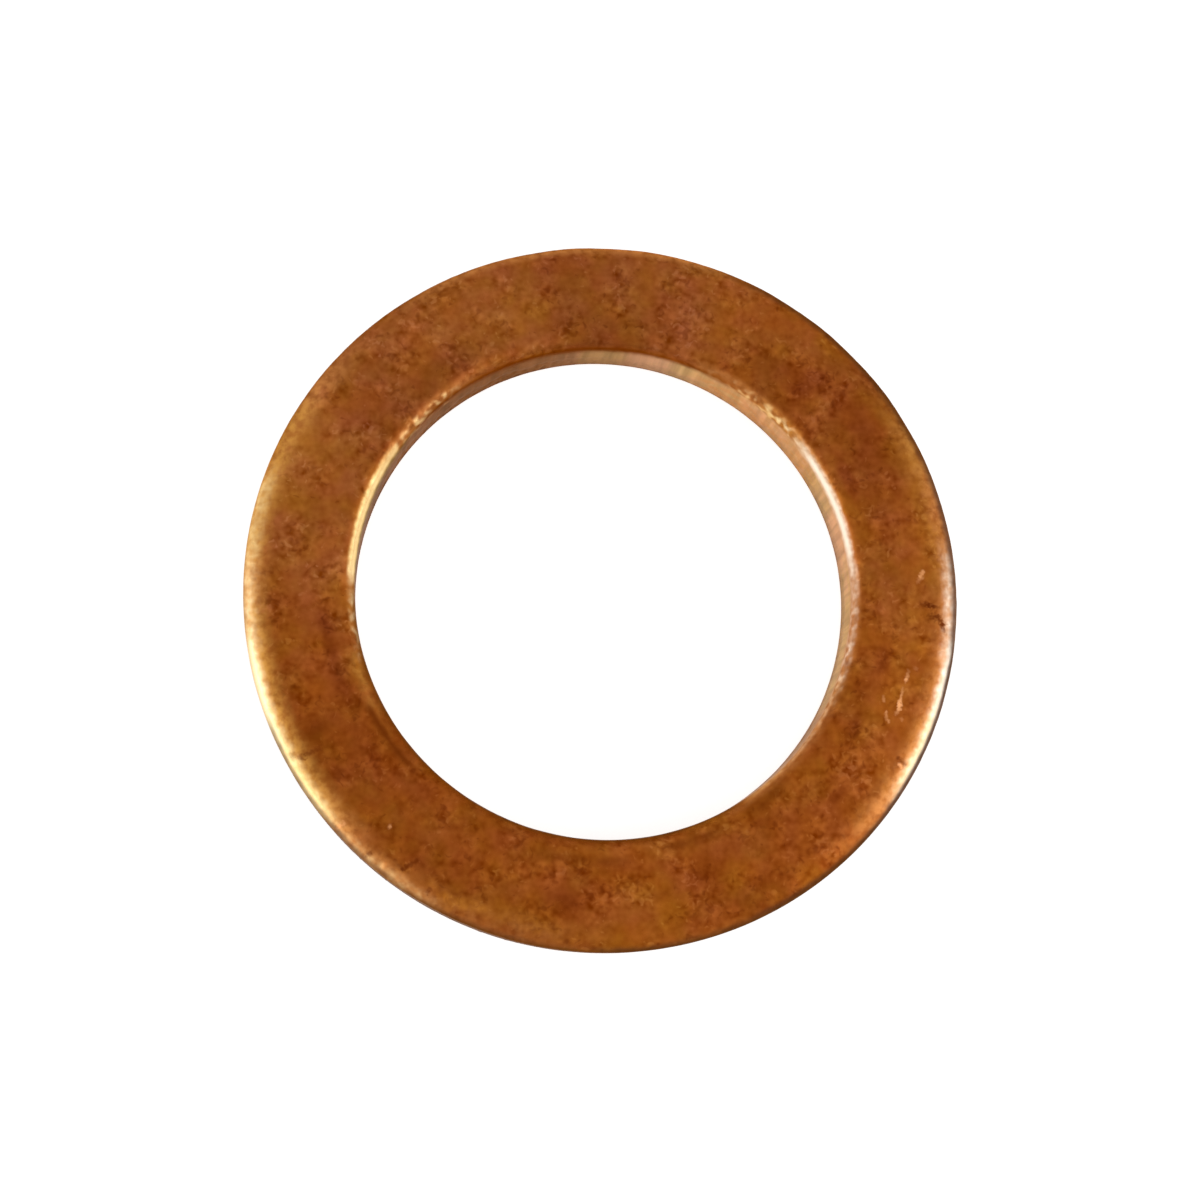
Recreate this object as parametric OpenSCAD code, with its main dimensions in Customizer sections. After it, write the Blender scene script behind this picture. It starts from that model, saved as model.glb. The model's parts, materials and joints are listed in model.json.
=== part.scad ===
// Flat sealing ring of solid copper, seated under the nose of a fuel injector.
// It is blanked from sheet, so the edges of the upper face are drawn down: the surface
// leaves the face in a gentle arc and enters the wall in a tight one, wider at the outside
// than at the bore. The edges of the underside are only broken, by a plain quarter round.
// The origin is the centre of the underside, and +Z points out of the upper face.

/* [Ring] */
// Diameter over the outside wall
outer_d = 20.1; // [18:0.1:24]
// Diameter of the bore that the injector's nose passes through
bore_d = 14; // [10:0.1:15]
// Thickness between the two seating faces
thickness = 2; // [1.5:0.1:3]

/* [Drawn-down edges of the upper face] */
// Width over which the outside edge leaves the face
upper_outer_w = 0.84; // [0.5:0.02:1]
// Depth below the face at which the outside edge has become the wall
upper_outer_d = 0.48; // [0.3:0.02:0.6]
// Width over which the bore edge leaves the face
upper_bore_w = 0.5; // [0.3:0.02:0.7]
// Depth below the face at which the bore edge has become the wall
upper_bore_d = 0.44; // [0.24:0.02:0.5]

/* [Broken edges of the underside] */
// Radius of the outside edge
lower_outer_r = 0.18; // [0.06:0.02:0.3]
// Radius of the bore edge
lower_bore_r = 0.16; // [0.06:0.02:0.3]

/* [Hidden] */

outer_r = outer_d / 2;
bore_r = bore_d / 2;
land_w = outer_r - bore_r; // width of the ring between bore and outside
turn = 30; // slope in degrees at which a drawn edge's gentle arc gives way to its tight one
spill = 0.1; // how far a cutter reaches past the surface that it cuts
copper = [0.57, 0.3, 0.12];
$fn = 180;

// What a drawn-down edge takes off a square corner. The corner is the origin and points to
// +X +Y, the surface leaves the face at X = -w and becomes the wall at Y = -d. The two arcs
// touch where the slope is `turn`, so their radii follow from the width and the depth.
module drawn_edge_waste(w, d) {
    half_tan = tan(turn / 2);
    tight_r = (d - w * half_tan) / (cos(turn) - (1 - sin(turn)) * half_tan);
    gentle_r = (w - tight_r * (1 - sin(turn))) / sin(turn);
    touch = [-tight_r * (1 - sin(turn)), tight_r * cos(turn) - d];
    above_touch = [touch.x + (spill - touch.y) * tan(turn), spill];
    difference() {
        polygon([[-w, 0], touch, above_touch, [-w, spill]]);
        translate([-w, -gentle_r]) circle(gentle_r);
    }
    difference() {
        polygon([touch, [0, -d], [spill, -d], [spill, spill], above_touch]);
        translate([-tight_r, -d]) circle(tight_r);
    }
}

// What a quarter round of radius r takes off the same corner.
module broken_edge_waste(r) {
    difference() {
        translate([-r, -r]) square(r + spill);
        translate([-r, -r]) circle(r);
    }
}

// Half section of the ring: X is the distance from the axis, Y is the height.
module ring_section() {
    difference() {
        translate([bore_r, 0]) square([land_w, thickness]);
        translate([outer_r, thickness]) drawn_edge_waste(upper_outer_w, upper_outer_d);
        translate([bore_r, thickness])
            mirror([1, 0]) drawn_edge_waste(upper_bore_w, upper_bore_d);
        translate([outer_r, 0]) mirror([0, 1]) broken_edge_waste(lower_outer_r);
        translate([bore_r, 0]) rotate(180) broken_edge_waste(lower_bore_r);
    }
}

module sealing_ring() {
    color(copper) rotate_extrude() ring_section();
}

sealing_ring();
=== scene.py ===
import json
import math

import bpy
import numpy as np
from mathutils import Matrix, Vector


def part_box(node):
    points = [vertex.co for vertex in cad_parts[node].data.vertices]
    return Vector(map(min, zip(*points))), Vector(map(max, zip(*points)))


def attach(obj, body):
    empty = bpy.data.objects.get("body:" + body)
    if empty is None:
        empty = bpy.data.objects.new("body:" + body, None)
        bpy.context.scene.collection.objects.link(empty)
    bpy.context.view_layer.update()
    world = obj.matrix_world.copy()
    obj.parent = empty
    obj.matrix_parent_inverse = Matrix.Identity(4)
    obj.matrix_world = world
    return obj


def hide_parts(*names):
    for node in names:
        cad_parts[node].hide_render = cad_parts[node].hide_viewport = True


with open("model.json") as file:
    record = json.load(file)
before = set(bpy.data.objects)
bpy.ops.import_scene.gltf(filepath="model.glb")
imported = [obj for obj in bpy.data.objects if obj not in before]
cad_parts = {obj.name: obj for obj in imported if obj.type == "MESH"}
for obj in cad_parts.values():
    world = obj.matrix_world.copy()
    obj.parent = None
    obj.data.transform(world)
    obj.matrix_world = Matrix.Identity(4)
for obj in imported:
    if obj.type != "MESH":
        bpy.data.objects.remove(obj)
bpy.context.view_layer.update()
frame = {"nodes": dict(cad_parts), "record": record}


# Sizes of the ring, in millimetres, from the frame's own mesh and mounts
MM = 0.001
RING = "sealing_ring"
mounts = {mount["name"]: mount for mount in frame["record"]["mounts"]}
ring_low, ring_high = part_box(RING)
UNDERSIDE = ring_low[2] / MM
UPPER_FACE = ring_high[2] / MM
OUTER_R = mounts["outside_wall"]["dims"]["r_mm"]
BORE_R = mounts["bore"]["dims"]["r_mm"]

# How far from a flat face's height a point of it may lie, in mm
LEVEL_TOLERANCE = 0.001


def wall_ends(name):
    """Lowest and highest point of the straight wall that a mount describes."""
    middle = mounts[name]["pos_m"][2] / MM
    half = mounts[name]["dims"]["length_mm"] / 2
    return middle - half, middle + half


def flat_ends(height):
    """Smallest and largest radius of the flat face that lies at a height."""
    points = frame["nodes"][RING].data.vertices
    places = np.array([point.co for point in points]) / MM
    flat = places[np.abs(places[:, 2] - height) < LEVEL_TOLERANCE]
    radii = np.hypot(flat[:, 0], flat[:, 1])
    return radii.min(), radii.max()


BORE_WALL_LOW, BORE_WALL_HIGH = wall_ends("bore")
OUTER_WALL_LOW, OUTER_WALL_HIGH = wall_ends("outside_wall")
UPPER_IN, UPPER_OUT = flat_ends(UPPER_FACE)
LOWER_IN, LOWER_OUT = flat_ends(UNDERSIDE)

# Slope at which the gentle arc of a drawn-down edge gives way to its tight one, as in the part
EDGE_TURN = math.radians(30)

# Mesh density of the ring: columns round it, and rows along each stretch of its section
COLUMNS = 900
FACE_ROWS = 33
ARC_ROWS = 9
BORE_WALL_ROWS = 14
OUTSIDE_WALL_ROWS = 8
LOWER_EDGE_ROWS = 4
UNDERSIDE_ROWS = 9


# The section of the ring
def straight(start, end, rows, normal):
    """Points start + t (end - start), t from 0 to below 1, all with the same normal."""
    t = np.linspace(0, 1, rows, endpoint=False)[:, None]
    points = np.asarray(start) + t * (np.asarray(end) - np.asarray(start))
    return np.hstack([points, np.tile(normal, (rows, 1))])


def quarter_round(corner, inner, first_deg, rows):
    """A quarter circle that rounds a corner: inner + r (cos t, sin t), normals (cos t, sin t)."""
    r = abs(corner[0] - inner[0])
    t = np.radians(first_deg + np.linspace(0, 90, rows, endpoint=False))
    normal = np.column_stack([np.cos(t), np.sin(t)])
    return np.hstack([np.asarray(inner) + r * normal, normal])


def drawn_edge(face_end, wall_end):
    """The drawn-down edge from a face's end to a wall's end: a gentle arc, then a tight one.

    At slope s the gentle arc lies G sin s out and G (1 - cos s) down from the face's end, and
    the tight one lies T (1 - sin s) in and T cos s up from the wall's end. The radii G and T
    follow from the width and depth of the edge, for arcs that touch at EDGE_TURN."""
    width, depth = abs(wall_end[0] - face_end[0]), face_end[1] - wall_end[1]
    side = np.sign(wall_end[0] - face_end[0])
    half_tan = math.tan(EDGE_TURN / 2)
    left_over = 1 - math.sin(EDGE_TURN)
    tight = (depth - width * half_tan) / (math.cos(EDGE_TURN) - left_over * half_tan)
    gentle = (width - tight * left_over) / math.sin(EDGE_TURN)
    first = np.linspace(0, EDGE_TURN, ARC_ROWS, endpoint=False)
    second = np.linspace(EDGE_TURN, math.pi / 2, ARC_ROWS, endpoint=False)
    out = np.append(gentle * np.sin(first), width - tight * (1 - np.sin(second)))
    down = np.append(gentle * (1 - np.cos(first)), depth - tight * np.cos(second))
    slope = np.append(first, second)
    return np.column_stack([face_end[0] + side * out, face_end[1] - down,
                            side * np.sin(slope), np.cos(slope)])


def ring_section():
    """The closed section: radius, height and the normal's two parts, a row for each point.

    It runs inwards over the upper face, down the bore, outwards under the ring and up the
    outside wall, so that the faces of the ring point outwards."""
    outside_edge = drawn_edge((UPPER_OUT, UPPER_FACE), (OUTER_R, OUTER_WALL_HIGH))
    upward = np.vstack([[OUTER_R, OUTER_WALL_HIGH, 1, 0], outside_edge[:0:-1]])
    return np.vstack([
        straight((UPPER_OUT, UPPER_FACE), (UPPER_IN, UPPER_FACE), FACE_ROWS, (0, 1)),
        drawn_edge((UPPER_IN, UPPER_FACE), (BORE_R, BORE_WALL_HIGH)),
        straight((BORE_R, BORE_WALL_HIGH), (BORE_R, BORE_WALL_LOW), BORE_WALL_ROWS, (-1, 0)),
        quarter_round((BORE_R, UNDERSIDE), (LOWER_IN, BORE_WALL_LOW), 180, LOWER_EDGE_ROWS),
        straight((LOWER_IN, UNDERSIDE), (LOWER_OUT, UNDERSIDE), UNDERSIDE_ROWS, (0, -1)),
        quarter_round((OUTER_R, UNDERSIDE), (LOWER_OUT, OUTER_WALL_LOW), 270, LOWER_EDGE_ROWS),
        straight((OUTER_R, OUTER_WALL_LOW), (OUTER_R, OUTER_WALL_HIGH), OUTSIDE_WALL_ROWS, (1, 0)),
        upward,
    ]).T


# Functions of place on the ring
def step(value, low, high):
    """0 up to low, 1 from high on, and 3t^2 - 2t^3 between, t being the share of the way."""
    t = np.clip((value - low) / (high - low), 0, 1)
    return t * t * (3 - 2 * t)


def degrees_from(angle, direction):
    """How far an angle in radians lies from a direction in degrees, from -180 to 180."""
    return (np.degrees(angle) - direction + 180) % 360 - 180


def stretch(angle, first, last, fade_in, fade_out):
    """1 from one direction to another, in degrees, with a smooth rise before and a fall after."""
    half = ((last - first) % 360) / 2
    off = degrees_from(angle, first + half)
    return step(off, -half - fade_in, -half) * step(-off, -half - fade_out, -half)


def lumps(points, seed, size, count=40):
    """Smooth lumps about size across, mostly between -1 and 1.

    It is a sum of plane waves sin(k.p + phase) with seeded directions, lengths and phases."""
    rng = np.random.default_rng(seed)
    way = rng.normal(size=(count, 3))
    way /= np.linalg.norm(way, axis=1, keepdims=True)
    wave = 2 * np.pi / (2 * size * rng.uniform(0.7, 1.4, count))
    phase = rng.uniform(0, 2 * np.pi, count)
    return np.sin(points @ (way.T * wave) + phase).sum(-1) / np.sqrt(count)


def spot(angle, radius, direction, distance, along, across):
    """A soft spot exp(-(u/along)^2 - (v/across)^2), u and v being the distances round and across."""
    u = np.radians(degrees_from(angle, direction)) * distance
    return np.exp(-(u / along) ** 2 - ((radius - distance) / across) ** 2)


# Depths of the relief, in mm: the wear of the upper edges, the knocks on them, the waves of all
# faces and the tearing of the walls
EDGE_WEAR = 0.010
EDGE_KNOCKS = 0.002
FACE_WAVES = 0.0015
WALL_TEARS = 0.022

# Height up to which the walls are torn, on average, how far it drifts up and down, the soft
# margin below it, and the height below which their colour is fully that of torn metal, in mm
TEAR_TOP = 0.75
TEAR_DRIFT = 0.12
TEAR_MARGIN = 0.18
TEAR_FULL = 0.25

# The least part of the normal that points straight out or in on a wall, and up on the upper face
WALL_NORMAL = 0.99
FACE_NORMAL = 0.6

# Dents and nicks: direction in degrees, radius, length round, width across and depth, in mm
DENTS = [
    (357.1, 9.17, 0.07, 0.22, 0.018), (355.4, 9.28, 0.08, 0.18, 0.020),
    (354.0, 9.52, 0.14, 0.08, 0.016), (210.0, 9.30, 0.06, 0.18, 0.020),
    (209.2, 9.80, 0.07, 0.09, 0.035), (231.0, 9.86, 0.08, 0.09, 0.035),
    (234.8, 9.38, 0.06, 0.17, 0.022), (239.7, 9.70, 0.06, 0.07, 0.018),
    (329.0, 9.50, 0.06, 0.12, 0.020), (340.8, 8.71, 0.26, 0.05, 0.010),
    (338.3, 8.79, 0.12, 0.06, 0.014), (228.1, 8.96, 0.07, 0.07, 0.012),
    (336.0, 8.51, 0.14, 0.05, 0.008), (343.7, 8.71, 0.16, 0.05, 0.008),
]

# Patches of tarnish on the upper face: direction, radius, length round, width across,
# how dark (below 0 is lighter) and how red (below 0 is more ochre)
PATCHES = [
    (24, 9.50, 1.7, 0.25, -0.7, -1.0), (43, 9.50, 1.6, 0.25, -0.1, -0.4),
    (37, 8.55, 1.7, 0.40, 0.5, 0.6), (54, 8.20, 0.9, 0.20, 0.4, 0.6),
    (45, 8.15, 0.30, 0.50, 0.6, 0.7), (25, 7.60, 0.6, 0.18, 0.9, 1.6),
    (18, 8.05, 1.4, 0.30, 0.5, 0.5), (44, 8.75, 0.4, 0.25, 0.7, 0.6),
    (76, 8.50, 0.9, 0.35, 0.4, 0.0), (90, 7.55, 4.5, 0.35, 0.35, -0.1),
    (100, 9.45, 0.7, 0.22, 0.3, 0.9), (122, 7.75, 1.4, 0.40, 0.5, -0.3),
    (141, 8.50, 0.5, 0.40, -0.1, 0.9), (154, 9.30, 1.6, 0.30, -0.6, -0.5),
    (165, 9.00, 1.6, 0.45, -0.6, -0.1), (155, 8.00, 2.0, 0.80, -0.2, 0.0),
    (196, 7.82, 1.2, 0.22, 1.1, 0.5), (188, 7.88, 0.6, 0.20, 0.8, 0.4),
    (207, 8.95, 0.22, 0.35, 0.9, 0.1), (215, 8.95, 0.3, 0.20, 0.5, 0.0),
    (221, 8.10, 1.6, 0.40, 0.0, 0.6),
    (236, 9.15, 0.7, 0.30, 0.5, 0.4), (246, 9.60, 0.9, 0.22, -0.9, -0.8),
    (254, 9.45, 0.9, 0.20, -0.5, -0.9), (262, 8.80, 0.45, 0.35, 1.4, 0.5),
    (268, 8.35, 0.4, 0.30, 0.6, 0.9), (279, 8.60, 0.5, 0.15, 0.7, 0.0),
    (288, 8.35, 0.45, 0.40, 0.9, 0.6), (272, 7.85, 3.0, 0.25, 0.3, 0.3),
    (285, 9.45, 2.2, 0.40, 0.6, 0.1), (296, 8.60, 0.9, 0.30, -0.3, -0.3),
    (284, 8.20, 2.4, 0.50, 0.35, 0.4),
    (303, 7.75, 0.5, 0.35, 0.6, 0.0), (311, 8.85, 2.0, 0.60, -0.3, 1.1),
    (307, 9.10, 0.30, 0.25, 0.7, 1.2), (305, 8.70, 0.25, 0.20, 0.4, 1.0),
    (317, 8.60, 0.40, 0.15, 0.7, 1.1), (324, 9.00, 0.7, 0.35, -0.8, 0.2),
    (312, 7.40, 0.3, 0.20, -0.7, 0.3), (330, 7.92, 0.45, 0.18, 1.5, 0.7),
    (338, 7.60, 0.3, 0.30, 0.9, 0.4), (345, 7.98, 0.55, 0.24, 1.3, 1.0),
    (343, 8.90, 2.2, 0.50, -0.6, 0.3), (15, 9.30, 1.8, 0.30, -0.5, -0.4),
    (205, 8.40, 3.0, 0.60, 0.0, 0.3), (230, 7.70, 2.5, 0.40, 0.3, 0.3),
    (230, 7.50, 0.4, 0.25, 0.2, 1.2),
]

# Stretches of the two upper edges. The numbers are the side (1 outside, -1 bore), the first and
# last direction, the fade before and after them, how far in from the wall it starts, where it
# is full, in mm, and its strength.
OUTSIDE, BORE = 1, -1
# Thinned tarnish, partly real wear and partly painted sheen beside the painted highlights.
THIN_TARNISH_AND_SHEEN = [
    (OUTSIDE, 188, 218, 12, 14, 0.88, 0.22, 1.0), (OUTSIDE, 150, 186, 22, 14, 0.85, 0.25, 0.8),
    (OUTSIDE, 322, 352, 14, 20, 0.95, 0.25, 0.8), (OUTSIDE, 352, 20, 10, 20, 0.95, 0.15, 0.7),
    (OUTSIDE, 218, 236, 6, 10, 0.60, 0.16, 0.6), (OUTSIDE, 240, 256, 8, 14, 0.90, 0.30, 0.2),
    (OUTSIDE, 74, 114, 10, 16, 0.40, 0.00, 0.75),
    (BORE, 350, 42, 16, 16, 0.26, 0.02, 0.4), (BORE, 150, 184, 10, 10, 0.32, 0.04, 0.35),
    (BORE, 196, 206, 4, 6, 0.55, 0.25, 0.3),
    (BORE, 40, 58, 6, 14, 0.28, 0.04, 0.5), (BORE, 124, 146, 8, 6, 0.32, 0.08, 0.45),
    (BORE, 304, 352, 10, 10, 0.30, 0.02, 0.45),
]
# Bare metal, partly real wear and partly painted highlight on the sides that face the lamps.
RUBBED_BARE_AND_HIGHLIGHT = [
    (OUTSIDE, 191, 206, 8, 8, 0.47, 0.06, 1.0), (OUTSIDE, 206, 216, 6, 10, 0.50, 0.12, 0.85),
    (OUTSIDE, 329, 350, 10, 5, 0.56, 0.12, 0.95), (OUTSIDE, 164, 188, 6, 8, 0.60, 0.16, 0.50),
    (OUTSIDE, 350, 4, 6, 6, 0.66, 0.28, 0.52), (OUTSIDE, 218, 236, 4, 10, 0.40, 0.12, 0.32),
    (BORE, 12, 30, 18, 16, 0.165, 0.00, 1.0), (BORE, 34, 48, 8, 24, 0.20, 0.00, 0.46),
    (BORE, 154, 177, 12, 5, 0.27, 0.10, 0.90), (BORE, 146.5, 154, 1.5, 8, 0.24, 0.08, 0.75),
    (BORE, 130, 143, 6, 3, 0.25, 0.06, 0.48), (BORE, 182, 194, 4, 6, 0.26, 0.06, 0.38),
    (BORE, 336, 4, 6, 6, 0.20, 0.04, 0.44), (BORE, 308, 336, 8, 8, 0.12, 0.00, 0.35),
]
# Painted shade: the dark outline of the rims, standing in for dark reflections and contact shadow.
PAINTED_SHADE_RIM = [
    (OUTSIDE, 238, 276, 14, 6, 0.18, 0.00, 0.8), (OUTSIDE, 272, 300, 16, 8, 0.22, 0.00, 1.0),
    (OUTSIDE, 296, 324, 6, 6, 0.24, 0.04, 1.0), (OUTSIDE, 322, 350, 6, 6, 0.24, 0.08, 1.0),
    (OUTSIDE, 352, 56, 8, 24, 0.34, 0.10, 0.9), (OUTSIDE, 104, 150, 20, 12, 0.22, 0.02, 0.35),
    (OUTSIDE, 206, 232, 6, 8, 0.18, 0.03, 0.65), (BORE, 186, 296, 10, 12, 0.14, 0.00, 0.75),
]

# Bands of deep brown along the bore, partly tarnish and partly painted shade where the edge
# turns down into the bore: first and last direction, the fade before and after them, then from
# where to where it climbs from the top of the wall, its soft margin, in mm, and its strength
DEEP_TARNISH_AND_SHADE = [
    (62, 80, 8, 10, -0.16, 0.16, 0.22, 0.6), (86, 134, 14, 12, -0.20, 0.20, 0.24, 1.0),
    (209, 221, 3, 4, 0.74, 0.92, 0.12, 1.0), (200, 280, 14, 10, 0.10, 0.44, 0.24, 0.5),
    (144, 176, 12, 12, -0.34, 0.10, 0.14, 0.85), (256, 272, 6, 6, 0.95, 1.15, 0.16, 0.45),
    (284, 292, 4, 4, 0.70, 1.00, 0.16, 0.5), (303, 311, 3, 3, 0.55, 0.95, 0.20, 0.55),
]

# Stretches by direction alone: first and last direction, the fade before and after them, and
# the strength. The first list is painted shade on the near part of the outside wall. The other
# lists named after a wall are the bore's.
PAINTED_SHADE_NEAR_WALL = [(212, 322, 30, 50, 1.0)]
ORANGE_WALL = [(34, 62, 10, 10, 0.5)]
# Where the painted highlight on the bare metal turns near-white.
PALE_HIGHLIGHT = [(344, 32, 14, 16, 1.0), (322, 344, 14, 10, 0.45), (186, 198, 14, 14, 0.3)]
# Where the thinned tarnish and painted sheen turn golden.
GOLDEN_SHEEN = [(186, 212, 12, 16, 0.8), (152, 172, 8, 10, 0.8), (24, 44, 8, 10, 0.6)]
# Where the painted shade on the outer rim is purple-grey.
COOL_SHADE_RIM = [(332, 350, 20, 20, 1.0), (350, 10, 10, 20, 0.5), (190, 214, 20, 24, 0.9)]
# Where the deep band under the bore's left highlight is olive.
MOSSY_TARNISH_AND_SHADE = [(148, 172, 12, 14, 1.0)]
# Where the painted highlight on the bare metal breaks into beads.
BEADED_HIGHLIGHT = [
    (41, 64, 3, 10, 0.9), (120, 144, 6, 1.5, 1.0), (184, 197, 3, 4, 0.8), (334, 352, 6, 8, 0.4),
]
# Painted shade on the bore wall, by direction.
SHADED_BORE_WALL = [(116, 186, 60, 20, 1.0), (296, 326, 20, 14, 0.5), (186, 296, 20, 20, 0.8)]
OLIVE_WALL = [
    (56, 70, 4, 6, 0.5), (86, 94, 3, 2, 0.8), (152, 172, 4, 4, 0.8), (334, 4, 6, 8, 0.5),
    (22, 30, 4, 4, 0.5),
]
PINK_WALL = [
    (76, 84, 4, 3, 0.5), (97, 103, 3, 3, 0.5), (4, 20, 6, 4, 0.3), (110, 134, 6, 4, 0.4),
]
VIVID_TARNISH = [(205, 345, 40, 30, 1.0), (12, 60, 20, 12, 0.7)]


def relief(angle, section, points):
    """How far the surface lies under the plain solid, in mm, and never above it.

    The upper edges are drawn down unevenly round the ring, the faces are slightly wavy, the
    walls are torn in their lower part, and single dents are cut at their own places."""
    radius, height, normal_r, normal_z = section
    lean = np.abs(normal_r)
    upper = normal_z > 0
    rounded = upper * lean * np.sqrt(1 - np.minimum(lean, 1) ** 2) * 2
    worn = EDGE_WEAR * rounded * (1 + 0.9 * lumps(points, seed=11, size=0.9))
    on_edge = upper * step(lean, 0.1, 0.5)
    knocked = EDGE_KNOCKS * on_edge * (1 + lumps(points, seed=12, size=0.16))
    wavy = FACE_WAVES * (1 + 0.9 * lumps(points, seed=13, size=0.5))
    tear_top = TEAR_TOP + TEAR_DRIFT * lumps(points * (1, 1, 0.1), seed=14, size=0.5)
    torn = (lean > WALL_NORMAL) * step(tear_top - height, 0.0, TEAR_MARGIN)
    torn = WALL_TEARS * torn * (1 + 0.5 * lumps(points * (1, 1, 0.5), seed=15, size=0.10))
    depth = worn + knocked + wavy + torn
    for direction, distance, along, across, deep in DENTS:
        depth = depth + deep * upper * spot(angle, radius, direction, distance, along, across)
    return np.maximum(depth, 0)


def edge_mask(table, angle, side, inset):
    """The strongest of a table's edge stretches, inset being the way in from the wall."""
    total = 0 * angle * inset
    for its_side, first, last, fade_in, fade_out, starts, full, strength in table:
        reach = (side == its_side) * step(-inset, -starts, -full)
        total = np.maximum(total, strength * reach * stretch(angle, first, last, fade_in, fade_out))
    return total


def round_mask(table, angle):
    """The strongest of a table's stretches by direction alone."""
    return np.max([row[4] * stretch(angle, *row[:4]) for row in table], axis=0)


def deep_tarnish_and_shade_mask(angle, climb):
    """The strongest of the deep bands, climb being the way in and up from the top of the wall."""
    total = 0 * angle * climb
    for first, last, fade_in, fade_out, low, high, soft, strength in DEEP_TARNISH_AND_SHADE:
        band = step(climb, low - soft, low + soft) * (1 - step(climb, high - soft, high + soft))
        total = np.maximum(total, strength * band * stretch(angle, first, last, fade_in, fade_out))
    return total


def patch_masks(angle, radius, normal_z):
    """How dark and how red the patches make the tarnish at each point of the upper face."""
    stain, red = 0 * angle * radius, 0 * angle * radius
    for direction, distance, along, across, dark, warm in PATCHES:
        patch = (normal_z > FACE_NORMAL) * spot(angle, radius, direction, distance, along, across)
        stain = stain + dark * patch
        red = red + warm * patch
    return stain, red


# Where one finish gives way to another, as first and last place of the change, in mm. The edges'
# finish ends, and the walls' begins, at depths below the top of the straight wall.
OUTSIDE_EDGE_END = (0.0, 0.40)
BORE_EDGE_END = (-0.04, 0.44)
WALL_START = -0.04
OUTSIDE_WALL_FULL = 0.10
BORE_WALL_FULL = 0.24
# The purple-grey of the rim's painted shade ends between these depths below the wall's top.
COOL_SHADE_END = (0.1, 0.9)

# Heights above the underside over which the walls' finish fades in, and torn metal's colour too
LOWER_EDGE_END = (0.03, 0.14)
TORN_START = (0.0, 0.1)

# The painted shade on the near wall fades in over the lower edge, between these upward parts of the
# normal.
LOWER_EDGE_NORMAL = (-0.9, -0.3)


def finish_masks(angle, section):
    """What the copper shows where, as numbers that the material reads at each point."""
    radius, height, normal_r, normal_z = section
    everywhere = 0 * angle * radius
    outside = radius > (OUTER_R + BORE_R) / 2
    side = np.where(outside, OUTSIDE, BORE)
    in_bore = side == BORE
    inset = np.where(outside, OUTER_R - radius, radius - BORE_R)
    below = np.where(outside, OUTER_WALL_HIGH, BORE_WALL_HIGH) - height
    upper = 1 - np.where(outside, step(below, *OUTSIDE_EDGE_END), step(below, *BORE_EDGE_END))
    wall_full = np.where(outside, OUTSIDE_WALL_FULL, BORE_WALL_FULL)
    above_edge = step(height, *LOWER_EDGE_END)
    overlay = in_bore * (1 - upper) * above_edge * round_mask(ORANGE_WALL, angle)
    # Painted shade on the near part of the outside wall.
    near_wall = outside * (1 - upper) * step(normal_z, *LOWER_EDGE_NORMAL)
    stain, red = patch_masks(angle, radius, normal_z)
    return {
        "wall": step(below, WALL_START, wall_full) * above_edge,
        # Thinned tarnish, partly painted sheen beside the highlights.
        "thin_and_sheen": np.maximum(overlay, upper * edge_mask(THIN_TARNISH_AND_SHEEN, angle, side, inset)),
        # Bare metal, partly painted highlight.
        "bare_and_highlight": upper * edge_mask(RUBBED_BARE_AND_HIGHLIGHT, angle, side, inset),
        # Painted shade on the rims and the near outside wall.
        "dark": np.maximum(near_wall * round_mask(PAINTED_SHADE_NEAR_WALL, angle),
                           upper * edge_mask(PAINTED_SHADE_RIM, angle, side, inset)),
        # Deep brown band at the bore's edge, partly tarnish and partly painted shade.
        "deep": deep_tarnish_and_shade_mask(angle, inset - below) * in_bore * (height > BORE_WALL_LOW),
        "torn": step(-height, -TEAR_TOP, -TEAR_FULL) * step(height, *TORN_START),
        "vivid": everywhere + round_mask(VIVID_TARNISH, angle),
        # Near-white share of the painted highlight.
        "pale": everywhere + round_mask(PALE_HIGHLIGHT, angle),
        # Golden share of the thinned tarnish and painted sheen.
        "golden_sheen": everywhere + round_mask(GOLDEN_SHEEN, angle),
        # Purple-grey share of the rim's painted shade.
        "cool_shade": outside * (1 - step(below, *COOL_SHADE_END)) * round_mask(COOL_SHADE_RIM, angle),
        "mossy": everywhere + round_mask(MOSSY_TARNISH_AND_SHADE, angle),
        # Beads in the bore's painted highlight.
        "beaded_highlight": in_bore * round_mask(BEADED_HIGHLIGHT, angle),
        "olive": everywhere + round_mask(OLIVE_WALL, angle) - round_mask(PINK_WALL, angle),
        # Dulled outside wall, and painted shade on the bore wall by direction.
        "dull_and_shade": np.where(outside, 1.0, round_mask(SHADED_BORE_WALL, angle)),
        "stain": stain,
        "red": red,
    }


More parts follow.
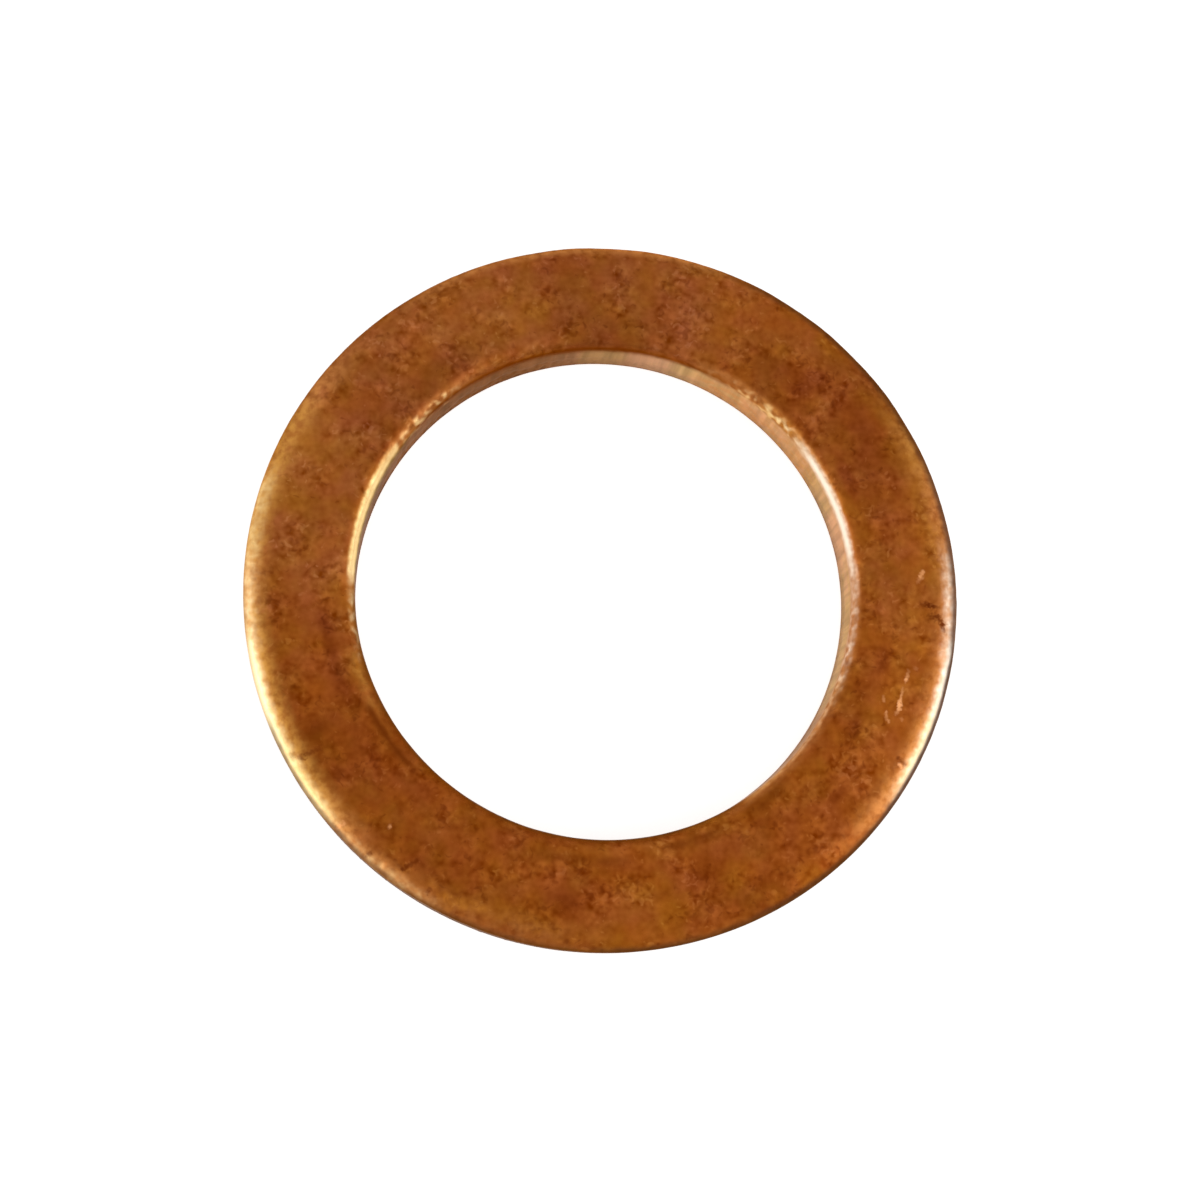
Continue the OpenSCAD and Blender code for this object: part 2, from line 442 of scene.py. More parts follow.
def ring_mesh():
    """The ring as one grid, angle by section row, closed both ways.

    A point is the section's point turned round the axis and sunk along its normal by the
    relief, so that the mesh stays inside the solid."""
    section = [part[None, :] for part in ring_section()]
    angle = np.linspace(0, 2 * np.pi, COLUMNS, endpoint=False)[:, None]
    radius, height, normal_r, normal_z = section

    def turned(distance, level):
        """Points at a distance from the axis and a level above the origin."""
        return np.stack([distance * np.cos(angle), distance * np.sin(angle), level + 0 * angle], -1)

    sunk = relief(angle, section, turned(radius, height))
    points = turned(radius - sunk * normal_r, height - sunk * normal_z) * MM
    columns, rows = points.shape[:2]
    index = np.arange(columns * rows).reshape(columns, rows)
    right = np.roll(index, -1, axis=0)
    quads = np.stack([index, right, np.roll(right, -1, axis=1), np.roll(index, -1, axis=1)], -1)
    mesh = bpy.data.meshes.new("ring_finish")
    mesh.from_pydata(points.reshape(-1, 3), [], quads.reshape(-1, 4))
    mesh.polygons.foreach_set("use_smooth", np.ones(columns * rows, bool))
    for name, values in finish_masks(angle, section).items():
        layer = mesh.attributes.new(name, "FLOAT", "POINT")
        whole = np.broadcast_to(values, (columns, rows))
        layer.data.foreach_set("value", whole.ravel().astype(np.float32))
    return mesh


# Shader building blocks
def srgb(red, green, blue):
    """A colour given as a picture shows it, 0 to 255, turned into the shader's linear values."""
    values = np.array([red, green, blue]) / 255
    linear = np.where(values <= 0.04045, values / 12.92, ((values + 0.055) / 1.055) ** 2.4)
    return (*linear.tolist(), 1.0)


def fill(tree, socket, value):
    """Links a socket, or sets it where the value is a plain one."""
    if isinstance(value, bpy.types.NodeSocket):
        tree.links.new(value, socket)
    else:
        socket.default_value = value


def node(tree, kind, inputs=None, **settings):
    """Adds a node, sets its properties, and links or fills its inputs by name or number."""
    made = tree.nodes.new(kind)
    for name, value in settings.items():
        setattr(made, name, value)
    for key, value in (inputs or {}).items():
        fill(tree, made.inputs[key], value)
    return made


def calc(tree, operation, *values, clamp=False):
    """A Math node on the given sockets or numbers."""
    return node(tree, "ShaderNodeMath", dict(enumerate(values)),
                operation=operation, use_clamp=clamp).outputs[0]


def vector(tree, operation, first, second, result="Vector"):
    """A Vector Math node on two vectors."""
    made = node(tree, "ShaderNodeVectorMath", {0: first, 1: second}, operation=operation)
    return made.outputs[result]


def fade(tree, value, low, high, to_low=0.0, to_high=1.0):
    """A smooth step from to_low at low to to_high at high."""
    inputs = {"Value": value, "From Min": low, "From Max": high,
              "To Min": to_low, "To Max": to_high}
    return node(tree, "ShaderNodeMapRange", inputs, interpolation_type="SMOOTHSTEP").outputs[0]


def mix(tree, share, first, second, mode="MIX"):
    """A blend of two colours."""
    made = node(tree, "ShaderNodeMix", data_type="RGBA", blend_type=mode)
    for key, value in ((0, share), (6, first), (7, second)):
        fill(tree, made.inputs[key], value)
    return made.outputs[2]


def noise(tree, place, size, detail=2.0, roughness=0.5, distortion=0.0):
    """Noise whose lumps are about size across, in millimetres."""
    inputs = {"Vector": place, "Scale": 1 / size, "Detail": detail,
              "Roughness": roughness, "Distortion": distortion}
    return node(tree, "ShaderNodeTexNoise", inputs).outputs[0]


def place_in_mm(tree, stretched=(1.0, 1.0, 1.0)):
    """Object coordinates in millimetres, divided by how far a pattern is stretched each way."""
    place = node(tree, "ShaderNodeTexCoord").outputs["Object"]
    return vector(tree, "MULTIPLY", place, tuple(1 / MM / way for way in stretched))


def grey(tree, value):
    """A colour with the same value in red, green and blue."""
    return node(tree, "ShaderNodeCombineColor", {0: value, 1: value, 2: value}).outputs[0]


def reading(tree, name):
    """The value that the ring's mesh holds under a name."""
    return node(tree, "ShaderNodeAttribute", attribute_name=name).outputs["Fac"]


def new_group(name, inputs, outputs):
    """A shader node group with named sockets. Returns its tree, input sockets and output node."""
    tree = bpy.data.node_groups.new(name, "ShaderNodeTree")
    for label, kind in inputs.items():
        tree.interface.new_socket(label, in_out="INPUT", socket_type=kind)
    for label, kind in outputs.items():
        tree.interface.new_socket(label, in_out="OUTPUT", socket_type=kind)
    return tree, tree.nodes.new("NodeGroupInput").outputs, tree.nodes.new("NodeGroupOutput")


def use_group(tree, group, inputs):
    """Places a node group in a material and returns its outputs."""
    return node(tree, "ShaderNodeGroup", inputs, node_tree=group).outputs


FLOAT, COLOUR, VECTOR = "NodeSocketFloat", "NodeSocketColor", "NodeSocketVector"

# Colours of the copper, as the photograph shows them
TARNISH_LIGHT = srgb(165, 96, 46)
TARNISH_DARK = srgb(114, 49, 3)
TARNISH_SPOT = srgb(98, 38, 6)
TARNISH_FLECK = srgb(178, 112, 64)
# Deep brown and olive of the bore's edge band, partly tarnish and partly painted shade.
TARNISH_AND_SHADE_DEEP = srgb(106, 46, 8)
TARNISH_AND_SHADE_MOSSY = srgb(104, 72, 20)
# Thinned tarnish, also the painted sheen beside the highlights.
THINNED_AND_SHEEN = srgb(206, 136, 74)
THINNED_GOLD_AND_SHEEN = srgb(206, 148, 66)
# Colours of bare metal, used as painted highlights.
BARE_WARM_HIGHLIGHT = srgb(250, 222, 158)
BARE_PALE_HIGHLIGHT = srgb(252, 240, 220)
# Colours of the painted shade on the rims and the near wall.
PAINTED_SHADE_WARM = srgb(96, 55, 31)
PAINTED_SHADE_COOL = srgb(106, 84, 76)
PAINTED_SHADE_DARK = srgb(58, 34, 20)
WALL_PINK = srgb(220, 173, 137)
WALL_OLIVE = srgb(208, 174, 122)
WALL_TORN = srgb(150, 124, 100)
# Dulled wall colours, also the painted shade on the bore wall.
WALL_DULL_SHADE_LIGHT = srgb(138, 90, 57)
WALL_DULL_SHADE_DARK = srgb(100, 62, 36)
SCRATCH = srgb(246, 174, 116)

# Tint of what the metal reflects at a grazing angle
GRAZING_TINT = (0.68, 0.53, 0.43, 1.0)

# Pairs of tints that the oxide drifts between
TINT_YELLOW, TINT_PINK = (1.0, 1.01, 0.72, 1.0), (1.0, 0.99, 1.22, 1.0)
TINT_OCHRE, TINT_RED = (0.975, 1.07, 0.90, 1.0), (1.025, 0.92, 1.05, 1.0)
TINT_DULL, TINT_VIVID = (1.0, 1.025, 1.06, 1.0), (1.0, 0.95, 0.62, 1.0)

# Sizes of the oxide's clouds, drifts of hue, clusters, grain, and spots and flecks, in mm
CLOUD_SIZE = 2.8
YELLOW_DRIFT_SIZE = 0.95
RED_DRIFT_SIZE = 0.8
CLUSTER_SIZE = 0.9
GRAIN_SIZE = 0.27
FLECK_SIZE = 0.19

# Sizes of the walls' streaks, drift of colour, torn grain and slow changes, in mm
STREAK_SIZE = 0.22
WALL_DRIFT_SIZE = 0.45
TORN_GRAIN_SIZE = 0.16
WALL_CLOUD_SIZE = 1.2
STREAK_STRETCH = 20.0

# Sizes of the patches of thin tarnish and painted sheen, the beads of bare metal and painted
# highlight, the marks' ragged outlines, and the bump's grain and pits, in mm
THIN_PATCH_SIZE = 0.25
BEAD_SIZE = 0.2
RAGGED_SIZE = 0.08
BUMP_GRAIN_SIZE = 0.14
PIT_SIZE = 0.10

# How far their own colour shows in the dark spots, the paler flecks and the torn metal
SPOT_SHARE = 0.4
FLECK_SHARE = 0.4
TORN_SHARE = 0.5

# Powers that the light through the oxide is raised to, for red, and for green and blue
RED_POWER = 0.85
REST_POWER = 1.2

# Roughness of the oxide, and what bare metal and dark spots add to it
ROUGHNESS = 0.42
BARE_ROUGHNESS = -0.08
SPOT_ROUGHNESS = 0.10

# Depth of the bump's fine grain, in mm, and how many times as deep the walls' streaks are
GRAIN_DEPTH = 0.005
STREAK_DEPTH = 1.5


# Effects that the material places more than once or with its own values
def oxide_group():
    """Mottled oxide: grain in clusters, dark spots and paler flecks, drifting hue, slow clouds.

    Where the layer is thick it takes less off the red than off the green and blue."""
    tree, given, result = new_group(
        "mottled_oxide",
        {"Place": VECTOR, "Stain": FLOAT, "Red": FLOAT, "Vivid": FLOAT, "Light": COLOUR,
         "Dark": COLOUR, "Spot": COLOUR, "Fleck": COLOUR},
        {"Color": COLOUR, "Spots": FLOAT})
    place = given["Place"]
    clusters = noise(tree, place, CLUSTER_SIZE, detail=1.0)
    grain = calc(tree, "SUBTRACT", noise(tree, place, GRAIN_SIZE, detail=1.0, roughness=0.7), 0.5)
    contrast = fade(tree, clusters, 0.3, 0.7, 0.7, 2.0)
    tone = calc(tree, "MULTIPLY_ADD", grain, contrast, 0.5)
    tone = calc(tree, "ADD", tone, 0.0, clamp=True)
    colour = mix(tree, tone, given["Dark"], given["Light"])

    # Dark spots gather in the clusters and the stains, and paler flecks in the clusters.
    fine = noise(tree, place, FLECK_SIZE, detail=1.0, roughness=0.6, distortion=0.5)
    gathered = calc(tree, "MULTIPLY_ADD", clusters, 0.5, fine)
    gathered = calc(tree, "MULTIPLY_ADD", given["Stain"], 0.05, gathered)
    spots = fade(tree, gathered, 0.84, 1.04)
    colour = mix(tree, calc(tree, "MULTIPLY", spots, SPOT_SHARE), colour, given["Spot"])
    pale = calc(tree, "MULTIPLY_ADD", clusters, 0.4, calc(tree, "SUBTRACT", 1.0, fine))
    pale = fade(tree, pale, 0.82, 0.98)
    colour = mix(tree, calc(tree, "MULTIPLY", pale, FLECK_SHARE), colour, given["Fleck"])

    # Hue drifts between yellow and pink, ochre and red, dull and vivid.
    drift = noise(tree, place, YELLOW_DRIFT_SIZE, detail=1.0)
    yellow = mix(tree, fade(tree, drift, 0.25, 0.75), TINT_YELLOW, TINT_PINK)
    hue = calc(tree, "MULTIPLY_ADD", given["Red"], 0.35, noise(tree, place, RED_DRIFT_SIZE))
    warm = mix(tree, fade(tree, hue, 0.2, 0.8), TINT_OCHRE, TINT_RED)
    vivid = mix(tree, given["Vivid"], TINT_DULL, TINT_VIVID)
    tint = mix(tree, 1.0, mix(tree, 1.0, yellow, warm, "MULTIPLY"), vivid, "MULTIPLY")

    # The layer's thickness changes with the slow clouds and the stains.
    slow = noise(tree, place, CLOUD_SIZE, detail=0.0)
    shade = calc(tree, "MULTIPLY_ADD", slow, -0.7, 0.35)
    shade = calc(tree, "MULTIPLY_ADD", given["Stain"], 0.36, shade)
    through = fade(tree, shade, -0.6, 0.8, 1.30, 0.5)
    red_share = calc(tree, "POWER", through, RED_POWER)
    rest = calc(tree, "POWER", through, REST_POWER)
    layer = node(tree, "ShaderNodeCombineColor", {0: red_share, 1: rest, 2: rest}).outputs[0]
    colour = mix(tree, 1.0, mix(tree, 1.0, colour, tint, "MULTIPLY"), layer, "MULTIPLY")
    fill(tree, result.inputs["Color"], colour)
    fill(tree, result.inputs["Spots"], spots)
    return tree


def broken_edge_group():
    """A smooth mask with its half-strong parts broken up by lumps, into specks where it is weak."""
    tree, given, result = new_group(
        "broken_edge",
        {"Place": VECTOR, "Mask": FLOAT, "Lump": FLOAT, "Break": FLOAT}, {"Mask": FLOAT})
    mask = given["Mask"]
    lumpy = node(tree, "ShaderNodeTexNoise", {"Vector": given["Place"], "Detail": 1.0,
                                              "Scale": calc(tree, "DIVIDE", 1.0, given["Lump"])})
    half = calc(tree, "MULTIPLY", mask, calc(tree, "SUBTRACT", 1.0, mask))
    half = calc(tree, "MULTIPLY", half, given["Break"])
    lift = calc(tree, "MULTIPLY", calc(tree, "SUBTRACT", lumpy.outputs[0], 0.5), half)
    whole = calc(tree, "ADD", mask, lift, clamp=True)
    ceiling = calc(tree, "MULTIPLY", mask, 1.6, clamp=True)
    fill(tree, result.inputs["Mask"], calc(tree, "MINIMUM", whole, ceiling))
    return tree


def short_mark_group():
    """A soft mark on the line that runs from Start along Run, gone a width away from it.

    It goes from strength First to strength Last along the line. Ragged moves its outline."""
    tree, given, result = new_group(
        "short_mark",
        {"Place": VECTOR, "Start": VECTOR, "Run": VECTOR, "Width": FLOAT, "First": FLOAT,
         "Last": FLOAT, "Ragged": FLOAT},
        {"Mask": FLOAT})
    offset = vector(tree, "SUBTRACT", given["Place"], given["Start"])
    along = calc(tree, "DIVIDE", vector(tree, "DOT_PRODUCT", offset, given["Run"], "Value"),
                 vector(tree, "DOT_PRODUCT", given["Run"], given["Run"], "Value"), clamp=True)
    reached = {0: given["Run"], "Scale": along}
    nearest = node(tree, "ShaderNodeVectorMath", reached, operation="SCALE").outputs[0]
    gap = vector(tree, "DISTANCE", offset, nearest, "Value")
    share = calc(tree, "ADD", calc(tree, "DIVIDE", gap, given["Width"]), given["Ragged"])
    change = calc(tree, "SUBTRACT", given["Last"], given["First"])
    strength = calc(tree, "MULTIPLY_ADD", along, change, given["First"])
    mask = calc(tree, "MULTIPLY", fade(tree, share, 0.0, 1.0, 1.0, 0.0), strength)
    fill(tree, result.inputs["Mask"], mask)
    return tree


def grain_group():
    """Fine grain and pits as a height between 0 and 1, finer than the mesh."""
    tree, given, result = new_group(
        "surface_grain", {"Place": VECTOR, "Pits": FLOAT}, {"Height": FLOAT})
    grain = noise(tree, given["Place"], BUMP_GRAIN_SIZE, roughness=0.6)
    pits = fade(tree, noise(tree, given["Place"], PIT_SIZE, detail=1.0), 0.66, 0.80)
    height = calc(tree, "SUBTRACT", grain, calc(tree, "MULTIPLY", pits, given["Pits"]))
    fill(tree, result.inputs["Height"], height)
    return tree


oxide, broken_edge = oxide_group(), broken_edge_group()
short_mark, surface_grain = short_mark_group(), grain_group()

# Scratches and nicks on the upper face: start x and y, run in x and y, width, all in mm, and
# how strongly each shows at its start and at its end, above 0 bright and below 0 dark
MARKS = [
    (8.44, -2.35, -0.06, -0.23, 0.090, 0.15, 0.60), (8.37, -2.58, -0.03, -0.10, 0.050, 0.60, 0.20),
    (8.27, -2.82, -0.10, -0.40, 0.060, 0.20, 0.70), (8.16, -3.27, -0.02, -0.12, 0.110, 1.00, 0.90),
    (8.12, -3.43, -0.09, -0.13, 0.085, 0.60, 0.25), (7.77, -3.51, -0.02, -0.19, 0.075, 0.50, 0.20),
    (7.81, -3.76, 0.01, -0.03, 0.070, 0.40, 0.40), (7.69, -3.08, 0.01, -0.10, 0.080, 0.20, 0.30),
    (8.19, -3.70, 0.01, -0.02, 0.080, 0.18, 0.18), (8.65, -2.27, 0.01, -0.02, 0.100, 0.12, 0.12),
    (8.96, 0.49, -0.05, -0.13, 0.110, 0.50, 0.50), (8.88, 0.31, -0.06, -0.10, 0.110, 0.30, 0.15),
    (8.11, -4.98, 0.04, -0.04, 0.090, 0.70, 0.60), (-5.98, -6.67, 0.03, 0.02, 0.080, 0.40, 0.40),
    (-7.19, -6.54, -0.20, -0.17, 0.100, 0.30, 0.60),
    (8.92, -0.45, 0.17, -0.01, 0.150, -0.50, -0.80), (9.09, -0.46, 0.12, -0.03, 0.120, -0.80, -0.70),
    (9.21, -0.49, 0.19, -0.04, 0.080, -0.70, -0.35), (9.06, -0.88, 0.12, 0.10, 0.160, -0.25, -0.40),
    (9.18, -0.79, 0.14, 0.01, 0.190, -0.40, -0.55), (9.31, -0.80, 0.11, -0.10, 0.180, -0.55, -0.60),
    (9.42, -0.90, 0.07, -0.12, 0.140, -0.60, -0.75), (9.49, -1.02, 0.03, -0.14, 0.100, -0.70, -0.60),
    (9.53, -1.00, 0.15, 0.00, 0.050, -0.60, -0.30),
    (8.06, -4.81, 0.19, -0.14, 0.100, -0.70, -0.50), (-8.24, -4.75, 0.37, 0.21, 0.130, -0.60, -0.50),
    (-8.66, -4.68, 0.36, -0.12, 0.120, -0.30, -0.55), (-5.60, -7.78, 0.37, 0.22, 0.110, -0.80, -0.60),
    (-4.92, -8.42, 0.05, 0.08, 0.100, -0.70, -0.50), (-6.54, -7.40, 0.04, 0.06, 0.120, -0.70, -0.70),
]
MARK_FLATTENING = 0.15


def marked(tree, place, colour):
    """The colour with the scratches and nicks drawn over it. Height counts little for them."""
    flat = vector(tree, "MULTIPLY", place, (1.0, 1.0, MARK_FLATTENING))
    ragged = fade(tree, noise(tree, place, RAGGED_SIZE, detail=1.0), 0.2, 0.8, -0.3, 0.3)
    for x, y, run_x, run_y, width, first, last in MARKS:
        share = use_group(tree, short_mark, {
            "Place": flat, "Start": (x, y, UPPER_FACE * MARK_FLATTENING),
            "Run": (run_x, run_y, 0.0), "Width": width, "First": abs(first), "Last": abs(last),
            "Ragged": ragged})["Mask"]
        colour = mix(tree, share, colour, SCRATCH if first > 0 else TARNISH_SPOT)
    return colour


def broken(tree, place, name, lump, loose):
    """A mask of the mesh, its half-strong parts broken up by lumps of a size in mm.

    The larger loose is, the further the lumps move the mask's outline."""
    return use_group(tree, broken_edge, {
        "Place": place, "Mask": reading(tree, name), "Lump": lump, "Break": loose})["Mask"]


def wall_colour(tree, upright, place):
    """Colour of the sheared walls: upright streaks on tan copper, brown where dulled, and painted
    shade on the bore wall.

    It comes with the lines themselves, which give way to grain where the wall is torn."""
    streaks = noise(tree, upright, STREAK_SIZE, roughness=0.6)
    drift = noise(tree, place, WALL_DRIFT_SIZE)
    olive = calc(tree, "MULTIPLY_ADD", reading(tree, "olive"), 0.5, drift)
    clean = mix(tree, fade(tree, olive, 0.2, 0.9), WALL_PINK, WALL_OLIVE)
    lightness = fade(tree, streaks, 0.25, 0.75, 0.74, 1.16)
    clean = mix(tree, 1.0, clean, grey(tree, lightness), "MULTIPLY")
    torn = reading(tree, "torn")
    clean = mix(tree, calc(tree, "MULTIPLY", torn, TORN_SHARE), clean, WALL_TORN)
    coarse = noise(tree, place, TORN_GRAIN_SIZE, roughness=0.6)
    lines = calc(tree, "MULTIPLY_ADD", torn, calc(tree, "SUBTRACT", coarse, streaks), streaks)
    # Dulled brown, which on the bore wall is painted shade.
    slow = calc(tree, "MULTIPLY_ADD", noise(tree, place, WALL_CLOUD_SIZE, detail=1.0), 0.8, -0.4)
    dulled_and_shaded = fade(tree, calc(tree, "ADD", lines, slow), 0.15, 0.85)
    dulled_and_shaded = mix(tree, dulled_and_shaded, WALL_DULL_SHADE_DARK, WALL_DULL_SHADE_LIGHT)
    return mix(tree, broken(tree, upright, "dull_and_shade", lump=0.6, loose=2.0), clean, dulled_and_shaded), lines


def rubbed_and_highlit(tree, place, colour):
    """The colour with thinned tarnish and bare metal on it, partly painted sheen and highlights, and
    the mask of the bare metal.
    """
    # Thinned tarnish and painted sheen, which also rims the bare metal.
    patchy = fade(tree, noise(tree, place, THIN_PATCH_SIZE), 0.3, 0.7, 0.35, 1.1)
    thin_and_sheen = calc(tree, "MULTIPLY", reading(tree, "thin_and_sheen"), patchy, clamp=True)
    thinned_and_sheen = mix(tree, reading(tree, "golden_sheen"), THINNED_AND_SHEEN, THINNED_GOLD_AND_SHEEN)
    colour = mix(tree, thin_and_sheen, colour, thinned_and_sheen)
    beads = fade(tree, noise(tree, place, BEAD_SIZE, detail=0.0), 0.30, 0.72, -1.0, 0.2)
    beads = calc(tree, "MULTIPLY_ADD", beads, reading(tree, "beaded_highlight"), 1.0)
    # Bare metal and painted highlight, broken up and beaded.
    bare_and_highlight = broken(tree, place, "bare_and_highlight", lump=0.2, loose=3.2)
    bare_and_highlight = calc(tree, "MULTIPLY", bare_and_highlight, beads, clamp=True)
    colour = mix(tree, bare_and_highlight, colour, thinned_and_sheen)
    # Colour of the bare metal's painted highlight, from warm to near-white.
    metal = mix(tree, reading(tree, "pale"), BARE_WARM_HIGHLIGHT, BARE_PALE_HIGHLIGHT)
    return mix(tree, calc(tree, "POWER", bare_and_highlight, 1.6), colour, metal), bare_and_highlight


def with_painted_shade(tree, place, lines, colour):
    """The colour with painted shade on the rims and the near wall."""
    overlay = mix(tree, reading(tree, "cool_shade"), PAINTED_SHADE_WARM, PAINTED_SHADE_COOL)
    overlay = mix(tree, fade(tree, lines, 0.2, 0.8, 0.55, 0.0), overlay, PAINTED_SHADE_DARK)
    return mix(tree, broken(tree, place, "dark", lump=0.35, loose=2.0), colour, overlay)


def tumbled_copper():
    """Dulled copper with thinned tarnish and bare metal on the edges, painted highlights, sheen and
    shade, and sheared, paler walls.
    """
    material = bpy.data.materials.new("tumbled_copper")
    material.use_nodes = True
    tree = material.node_tree
    tree.nodes.clear()
    place = place_in_mm(tree)
    upright = place_in_mm(tree, (1.0, 1.0, STREAK_STRETCH))
    tarnish = use_group(tree, oxide, {
        "Place": place, "Stain": reading(tree, "stain"), "Red": reading(tree, "red"),
        "Vivid": reading(tree, "vivid"), "Light": TARNISH_LIGHT, "Dark": TARNISH_DARK,
        "Spot": TARNISH_SPOT, "Fleck": TARNISH_FLECK})
    wall, lines = wall_colour(tree, upright, place)
    on_wall = reading(tree, "wall")
    # Thinned tarnish, bare metal, painted sheen and painted highlights on the edges.
    colour, bare_and_highlight = rubbed_and_highlit(tree, place, mix(tree, on_wall, tarnish["Color"], wall))
    # Deep band at the bore's edge: tarnish and painted shade.
    deep_and_shade_colour = mix(tree, reading(tree, "mossy"), TARNISH_AND_SHADE_DEEP, TARNISH_AND_SHADE_MOSSY)
    colour = mix(tree, broken(tree, place, "deep", lump=0.25, loose=3.0), colour, deep_and_shade_colour)
    # Scratches and nicks, then the painted shade on the rims and the near wall.
    colour = with_painted_shade(tree, place, lines, marked(tree, place, colour))
    roughness = calc(tree, "MULTIPLY_ADD", bare_and_highlight, BARE_ROUGHNESS, ROUGHNESS)
    roughness = calc(tree, "MULTIPLY_ADD", tarnish["Spots"], SPOT_ROUGHNESS, roughness)
    grain = use_group(tree, surface_grain, {"Place": place, "Pits": 0.5})["Height"]
    wall_lines = calc(tree, "MULTIPLY", lines, on_wall)
    height = calc(tree, "MULTIPLY_ADD", wall_lines, STREAK_DEPTH, grain)
    bump = node(tree, "ShaderNodeBump", {
        "Height": height, "Distance": GRAIN_DEPTH * MM, "Strength": 1.0})
    shader = node(tree, "ShaderNodeBsdfPrincipled", {
        "Base Color": colour, "Metallic": 1.0, "Roughness": roughness,
        "Specular Tint": GRAZING_TINT, "Normal": bump.outputs["Normal"]})
    node(tree, "ShaderNodeOutputMaterial", {"Surface": shader.outputs[0]})
    return material


# The ring's finish
ring_finish = bpy.data.objects.new("ring_finish", ring_mesh())
bpy.context.collection.objects.link(ring_finish)
ring_finish.data.materials.append(tumbled_copper())
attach(ring_finish, "root")
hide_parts(RING)


# Floor, world and lamps, with lengths in metres. FLOOR_LIFT is the glow that makes the floor white
# in the picture, SKY_LIGHT the world's strength and LAMP_RADIANCE how bright a lamp's face is.
FLOOR_GAP = 0.01 * MM
FLOOR_COLOUR = (0.92, 0.92, 0.92, 1.0)
FLOOR_LIFT = 0.7
WHITE = (1.0, 1.0, 1.0, 1.0)
SKY_LIGHT = 0.5
LAMP_RADIANCE = 1.1


def white_rays(tree):
    """1 for the rays that should meet a white background: seen, reflected and transmitted ones."""
    path = node(tree, "ShaderNodeLightPath").outputs
    seen = calc(tree, "MAXIMUM", path["Is Camera Ray"], path["Is Glossy Ray"])
    return calc(tree, "MAXIMUM", seen, path["Is Transmission Ray"])


def studio_floor():
    """A pale floor that keeps the shadow, lifted to white for the camera and for reflections."""
    bpy.ops.mesh.primitive_plane_add(size=2.0, location=(0, 0, UNDERSIDE * MM - FLOOR_GAP))
    floor = bpy.context.object
    floor.name = "floor"
    material = bpy.data.materials.new("floor_white")
    material.use_nodes = True
    tree = material.node_tree
    tree.nodes.clear()
    lit = node(tree, "ShaderNodeBsdfDiffuse", {"Color": FLOOR_COLOUR}).outputs[0]
    lift = calc(tree, "MULTIPLY", white_rays(tree), FLOOR_LIFT)
    white = node(tree, "ShaderNodeEmission", {"Color": WHITE, "Strength": lift}).outputs[0]
    both = node(tree, "ShaderNodeAddShader", {0: lit, 1: white}).outputs[0]
    node(tree, "ShaderNodeOutputMaterial", {"Surface": both})
    floor.data.materials.append(material)


def studio_world():
    """Even light of half strength, which the camera and reflections see as white."""
    world = bpy.data.worlds.new("studio")
    world.use_nodes = True
    tree = world.node_tree
    tree.nodes.clear()
    strength = calc(tree, "MULTIPLY_ADD", white_rays(tree), 1 - SKY_LIGHT, SKY_LIGHT)
    sky = node(tree, "ShaderNodeBackground", {"Color": WHITE, "Strength": strength})
    node(tree, "ShaderNodeOutputWorld", {"Surface": sky.outputs[0]})
    bpy.context.scene.world = world


def aim(thing, place, right, up):
    """Stands a lamp or camera at a place, looking along -(right x up)."""
    matrix = np.eye(4)
    matrix[:3, :3] = np.column_stack([right, up, np.cross(right, up)])
    matrix[:3, 3] = place
    thing.matrix_world = Matrix(matrix.tolist())


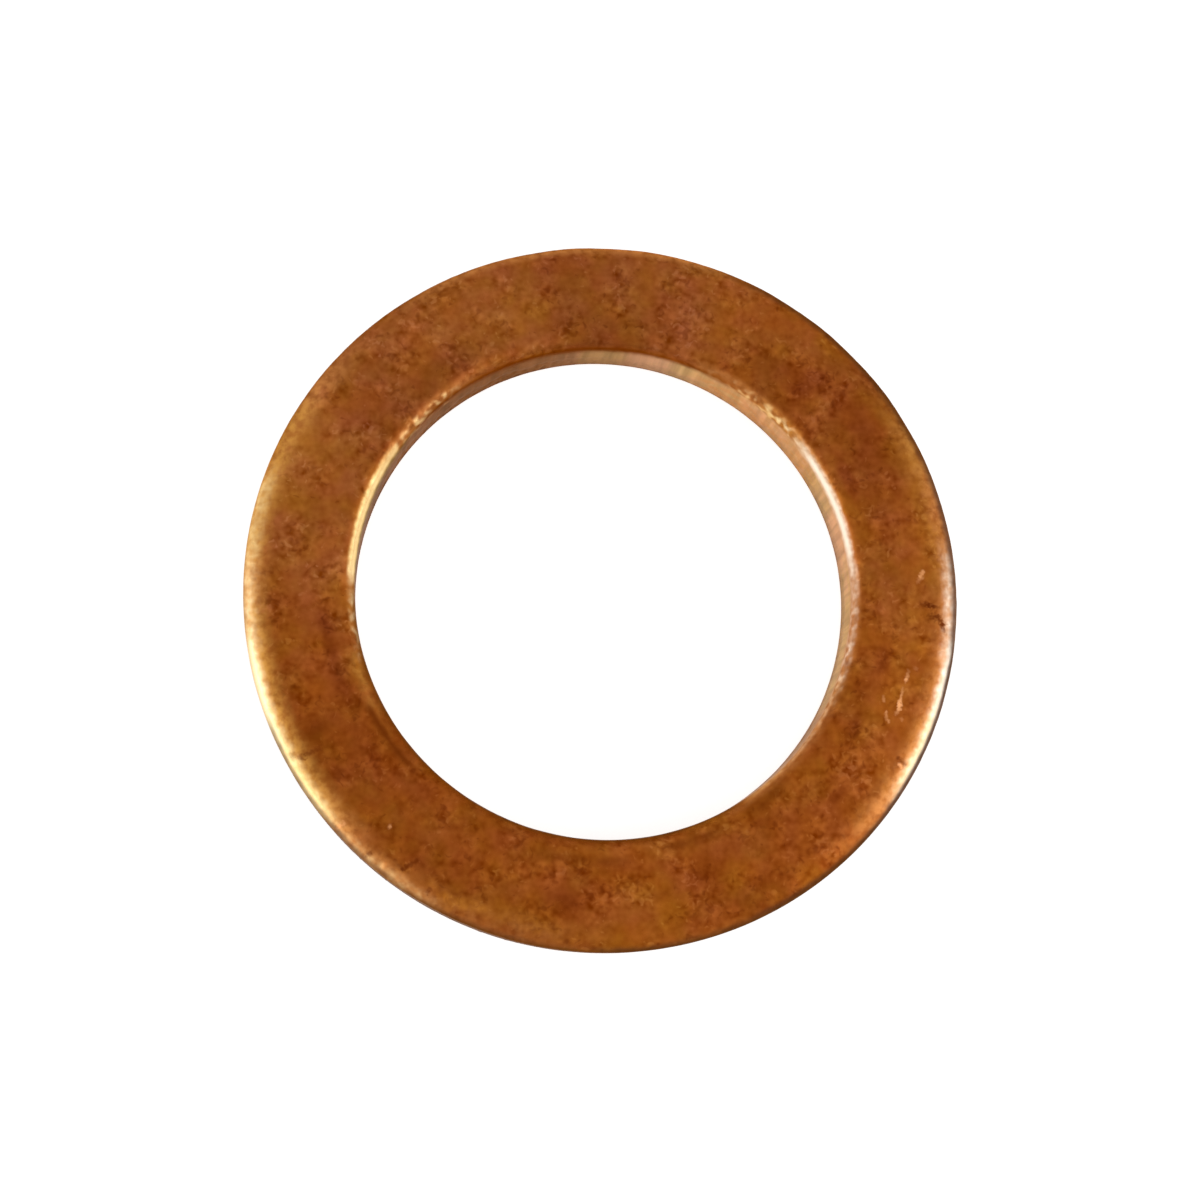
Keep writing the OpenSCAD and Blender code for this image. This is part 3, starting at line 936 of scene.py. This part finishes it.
def softbox(name, azimuth_deg, distance, width, low, high):
    """An upright lamp that faces the ring's axis, between two heights.

    Its power is radiance x pi x area, which makes its face that bright."""
    light = bpy.data.lights.new(name, "AREA")
    light.shape = "RECTANGLE"
    light.size, light.size_y = width, high - low
    light.energy = LAMP_RADIANCE * math.pi * width * (high - low)
    lamp = bpy.data.objects.new(name, light)
    bpy.context.collection.objects.link(lamp)
    azimuth = math.radians(azimuth_deg)
    back = np.array([math.cos(azimuth), math.sin(azimuth), 0])
    upright = np.array([0, 0, 1.0])
    aim(lamp, back * distance + upright * (low + high) / 2, np.cross(upright, back), upright)
    lamp.visible_camera = False


# Camera: its tilt from the ring's axis and the direction that it leans away from, in degrees, its
# distance in metres, and the outer rim's radius and the ring's middle in the photograph's pixels
CAMERA_TILT = 12.33
CAMERA_TURN = 61.86
CAMERA_DISTANCE = 5.58 * OUTER_R * MM
FRAME_PIXELS = 1200
RING_RADIUS_PIXELS = 355.04
RING_CENTRE_PIXELS = (604.30, 592.49)
SENSOR = 36.0


def photo_camera():
    """A camera on the ring's middle, with the lens and shift that place the ring as in the photo."""
    data = bpy.data.cameras.new("photo_camera")
    data.sensor_width = SENSOR
    data.lens = SENSOR * RING_RADIUS_PIXELS * CAMERA_DISTANCE / (OUTER_R * MM) / FRAME_PIXELS
    data.shift_x = (FRAME_PIXELS / 2 - RING_CENTRE_PIXELS[0]) / FRAME_PIXELS
    data.shift_y = (RING_CENTRE_PIXELS[1] - FRAME_PIXELS / 2) / FRAME_PIXELS
    data.clip_start, data.clip_end = 1 * MM, 10.0
    camera = bpy.data.objects.new("photo_camera", data)
    bpy.context.collection.objects.link(camera)
    tilt, turn = math.radians(CAMERA_TILT), math.radians(CAMERA_TURN)
    across = np.array([-math.sin(turn), math.cos(turn), 0])
    away = np.array([math.cos(tilt) * math.cos(turn),
                     math.cos(tilt) * math.sin(turn), math.sin(tilt)])
    right = away * math.cos(turn) - across * math.sin(turn)
    up = away * math.sin(turn) + across * math.cos(turn)
    middle = np.array([0, 0, (UNDERSIDE + UPPER_FACE) / 2 * MM])
    aim(camera, middle + CAMERA_DISTANCE * np.cross(right, up), right, up)
    bpy.context.scene.camera = camera


studio_floor()
studio_world()
softbox("left_softbox", azimuth_deg=197, distance=0.20, width=0.20, low=0.0, high=0.14)
softbox("right_softbox", azimuth_deg=342, distance=0.20, width=0.17, low=0.03, high=0.26)
photo_camera()
bpy.context.scene.view_settings.view_transform = "Standard"
